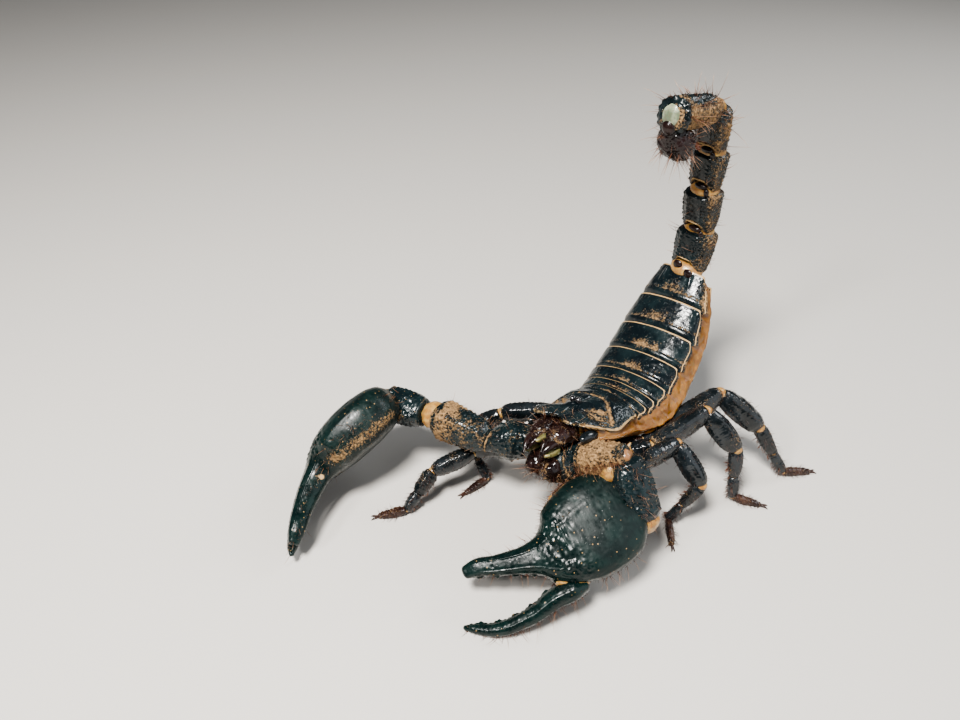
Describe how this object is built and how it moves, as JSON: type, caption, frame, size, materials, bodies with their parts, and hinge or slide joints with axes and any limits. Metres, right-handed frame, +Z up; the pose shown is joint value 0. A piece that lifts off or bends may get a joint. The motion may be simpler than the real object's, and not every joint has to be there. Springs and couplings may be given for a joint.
{
  "type": "scorpion",
  "caption": "Forest scorpion in its defensive stance, with a plated back, raised tail, thick claws and bent walking legs, as a still display model.",
  "frame": {"origin": "on the floor, under the middle of the model's box", "axes": "+Z up, -Y the way the animal faces, +X towards its left side"},
  "size_m": [0.0698, 0.1046, 0.075],
  "materials": {
    "shell": "glossy blue-black horn with tan mud in its furrows",
    "claw": "glossy dark blue-green horn, tan mud on its keels",
    "soft": "satin ochre skin, paler at the joints",
    "foot": "satin dark red-brown horn",
    "eye": "polished black"
  },
  "bodies": {
    "root": {"belly_plates": "shell", "carapace": "shell", "chelicera_L": "foot", "chelicera_R": "foot", "coxae": "shell", "eye_L": "eye", "eye_R": "eye", "leg_L1_femur": "shell", "leg_L1_patella": "shell", "leg_L1_shin": "foot", "leg_L2_femur": "shell", "leg_L2_patella": "shell", "leg_L2_shin": "foot", "leg_L3_femur": "shell", "leg_L3_patella": "shell", "leg_L3_shin": "foot", "leg_L4_femur": "shell", "leg_L4_patella": "shell", "leg_L4_shin": "foot", "leg_R1_femur": "shell", "leg_R1_patella": "shell", "leg_R1_shin": "foot", "leg_R2_femur": "shell", "leg_R2_patella": "shell", "leg_R2_shin": "foot", "leg_R3_femur": "shell", "leg_R3_patella": "shell", "leg_R3_shin": "foot", "leg_R4_femur": "shell", "leg_R4_patella": "shell", "leg_R4_shin": "foot", "pectine_L": "soft", "pectine_R": "soft", "pedipalp_L_femur": "claw", "pedipalp_L_finger": "claw", "pedipalp_L_hand": "claw", "pedipalp_L_patella": "claw", "pedipalp_L_trochanter": "claw", "pedipalp_R_femur": "claw", "pedipalp_R_finger": "claw", "pedipalp_R_hand": "claw", "pedipalp_R_patella": "claw", "pedipalp_R_trochanter": "claw", "soft_body": "soft", "tail_1": "shell", "tail_2": "shell", "tail_3": "shell", "tail_4": "shell", "tail_5": "shell", "telson_sting": "foot", "telson_vesicle": "shell", "tergite_1": "shell", "tergite_2": "shell", "tergite_3": "shell", "tergite_4": "shell", "tergite_5": "shell", "tergite_6": "shell", "tergite_7": "shell"}
  },
  "joints": []
}
